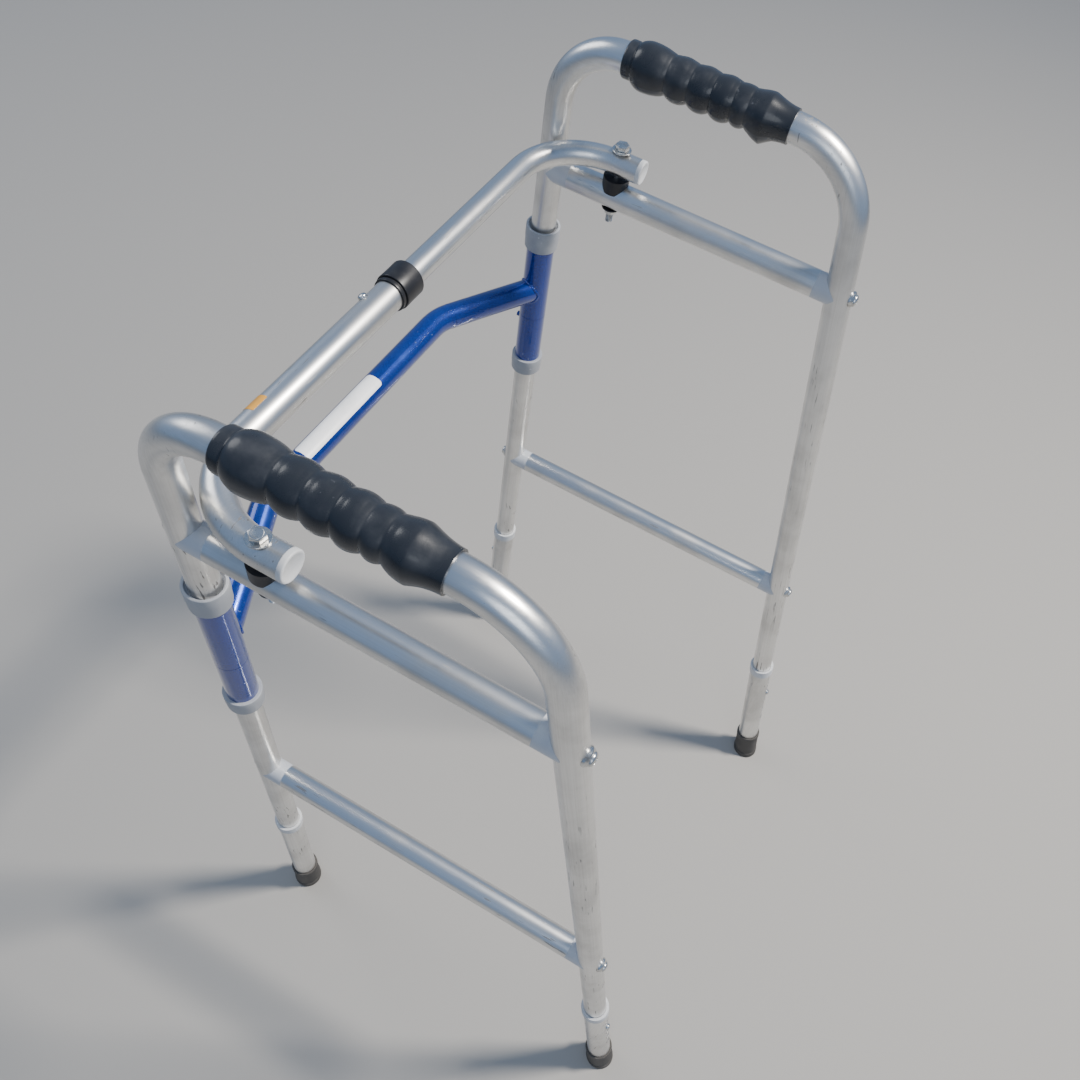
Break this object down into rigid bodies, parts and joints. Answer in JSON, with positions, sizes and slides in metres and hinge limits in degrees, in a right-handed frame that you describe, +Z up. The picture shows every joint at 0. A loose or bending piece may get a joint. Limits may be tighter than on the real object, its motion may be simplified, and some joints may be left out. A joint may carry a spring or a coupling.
{
  "type": "folding walking frame",
  "caption": "Folding aluminium walking frame: U-shaped side frames hinged on a blue front brace, tied by a telescopic cross tube, with adjustable rubber-tipped legs.",
  "frame": {"origin": "on the floor, at the middle of the bounding box of the opened frame", "axes": "+Z up; -Y the walking direction, towards the front brace; +X the left hand of the person using it"},
  "size_m": [0.49, 0.4834, 0.857],
  "materials": {
    "aluminium": "satin anodised, lightly brushed along the tube, fine scuffs",
    "blue_paint": "gloss metallic blue",
    "grip_rubber": "moulded, semi-gloss charcoal",
    "tip_rubber": "matt, dusty dark grey",
    "grey_plastic": "moulded light grey",
    "black_plastic": "moulded black",
    "nylon": "natural nylon",
    "zinc_steel": "bright zinc plated",
    "spring_steel": "plain spring steel"
  },
  "bodies": {
    "front_brace": {"brace_tube": "blue_paint", "left_sleeve": "blue_paint", "right_sleeve": "blue_paint", "left_sleeve_bush": "nylon", "right_sleeve_bush": "nylon"},
    "left_frame": {"left_side_tube": "aluminium", "left_grip": "grip_rubber", "left_upper_rail": "aluminium", "left_lower_rail": "aluminium", "left_rail_saddles": "aluminium", "left_rail_screws": "zinc_steel", "left_sleeve_ring": "blue_paint", "left_upper_collar": "grey_plastic", "left_lower_collar": "grey_plastic", "left_pivot_saddle": "black_plastic", "left_pivot_bolt": "zinc_steel", "left_pivot_washers": "zinc_steel", "left_pivot_nut": "zinc_steel", "left_front_clip": "spring_steel", "left_rear_clip": "spring_steel"},
    "right_frame": {"right_side_tube": "aluminium", "right_grip": "grip_rubber", "right_upper_rail": "aluminium", "right_lower_rail": "aluminium", "right_rail_saddles": "aluminium", "right_rail_screws": "zinc_steel", "right_sleeve_ring": "blue_paint", "right_upper_collar": "grey_plastic", "right_lower_collar": "grey_plastic", "right_pivot_saddle": "black_plastic", "right_pivot_bolt": "zinc_steel", "right_pivot_washers": "zinc_steel", "right_pivot_nut": "zinc_steel", "right_front_clip": "spring_steel", "right_rear_clip": "spring_steel"},
    "outer_half": {"cross_tube_outer": "aluminium", "outer_end_cap": "grey_plastic", "telescope_collar": "black_plastic"},
    "inner_half": {"cross_tube_inner": "aluminium", "inner_end_cap": "grey_plastic", "lock_clip": "spring_steel"},
    "lock_button": {"lock_button": "zinc_steel"},
    "left_front_leg": {"left_front_extension": "aluminium", "left_front_ferrule": "aluminium", "left_front_tip": "tip_rubber"},
    "left_front_button": {"left_front_button": "zinc_steel"},
    "left_rear_leg": {"left_rear_extension": "aluminium", "left_rear_ferrule": "aluminium", "left_rear_tip": "tip_rubber"},
    "left_rear_button": {"left_rear_button": "zinc_steel"},
    "right_front_leg": {"right_front_extension": "aluminium", "right_front_ferrule": "aluminium", "right_front_tip": "tip_rubber"},
    "right_front_button": {"right_front_button": "zinc_steel"},
    "right_rear_leg": {"right_rear_extension": "aluminium", "right_rear_ferrule": "aluminium", "right_rear_tip": "tip_rubber"},
    "right_rear_button": {"right_rear_button": "zinc_steel"}
  },
  "joints": [
    {"name": "left_frame_fold", "type": "hinge", "parent": "front_brace", "child": "left_frame", "pos_m": [0.228, -0.18857, 0.6], "axis": [0, 0, 1], "range_deg": [0, 30], "deforming": ["lock_button"]},
    {"name": "right_frame_fold", "type": "hinge", "parent": "front_brace", "child": "right_frame", "pos_m": [-0.228, -0.18857, 0.6], "axis": [0, 0, 1], "range_deg": [-30, 0]},
    {"name": "outer_half_pivot", "type": "hinge", "parent": "left_frame", "child": "outer_half", "pos_m": [0.228, -0.12857, 0.7592], "axis": [0, 0, 1], "range_deg": [-30, 0]},
    {"name": "inner_half_pivot", "type": "hinge", "parent": "right_frame", "child": "inner_half", "pos_m": [-0.228, -0.12857, 0.7592], "axis": [0, 0, 1], "range_deg": [0, 30]},
    {"name": "lock_button_press", "type": "slide", "parent": "inner_half", "child": "lock_button", "axis": [0, 0.6428, -0.766], "range_m": [0, 0.0042], "stiffness_N_per_m": 400, "deforming": ["lock_clip"]},
    {"name": "left_front_leg_height", "type": "slide", "parent": "left_frame", "child": "left_front_leg", "axis": [0, 0, -1], "range_m": [0, 0.04], "deforming": ["left_front_button"]},
    {"name": "left_front_button_press", "type": "slide", "parent": "left_frame", "child": "left_front_button", "axis": [0, 1, 0], "range_m": [0, 0.0042], "stiffness_N_per_m": 400, "deforming": ["left_front_clip"]},
    {"name": "left_rear_leg_height", "type": "slide", "parent": "left_frame", "child": "left_rear_leg", "axis": [0, 0.2011, -0.9796], "range_m": [0, 0.04], "deforming": ["left_rear_button"]},
    {"name": "left_rear_button_press", "type": "slide", "parent": "left_frame", "child": "left_rear_button", "axis": [0, -0.9796, -0.2011], "range_m": [0, 0.0042], "stiffness_N_per_m": 400, "deforming": ["left_rear_clip"]},
    {"name": "right_front_leg_height", "type": "slide", "parent": "right_frame", "child": "right_front_leg", "axis": [0, 0, -1], "range_m": [0, 0.04], "deforming": ["right_front_button"]},
    {"name": "right_front_button_press", "type": "slide", "parent": "right_frame", "child": "right_front_button", "axis": [0, 1, 0], "range_m": [0, 0.0042], "stiffness_N_per_m": 400, "deforming": ["right_front_clip"]},
    {"name": "right_rear_leg_height", "type": "slide", "parent": "right_frame", "child": "right_rear_leg", "axis": [0, 0.2011, -0.9796], "range_m": [0, 0.04], "deforming": ["right_rear_button"]},
    {"name": "right_rear_button_press", "type": "slide", "parent": "right_frame", "child": "right_rear_button", "axis": [0, -0.9796, -0.2011], "range_m": [0, 0.0042], "stiffness_N_per_m": 400, "deforming": ["right_rear_clip"]}
  ],
  "couplings": [
    {"joint": "right_frame_fold", "follows": "left_frame_fold", "ratio": -1},
    {"joint": "outer_half_pivot", "follows": "left_frame_fold", "ratio": -1},
    {"joint": "inner_half_pivot", "follows": "left_frame_fold", "ratio": 1}
  ]
}
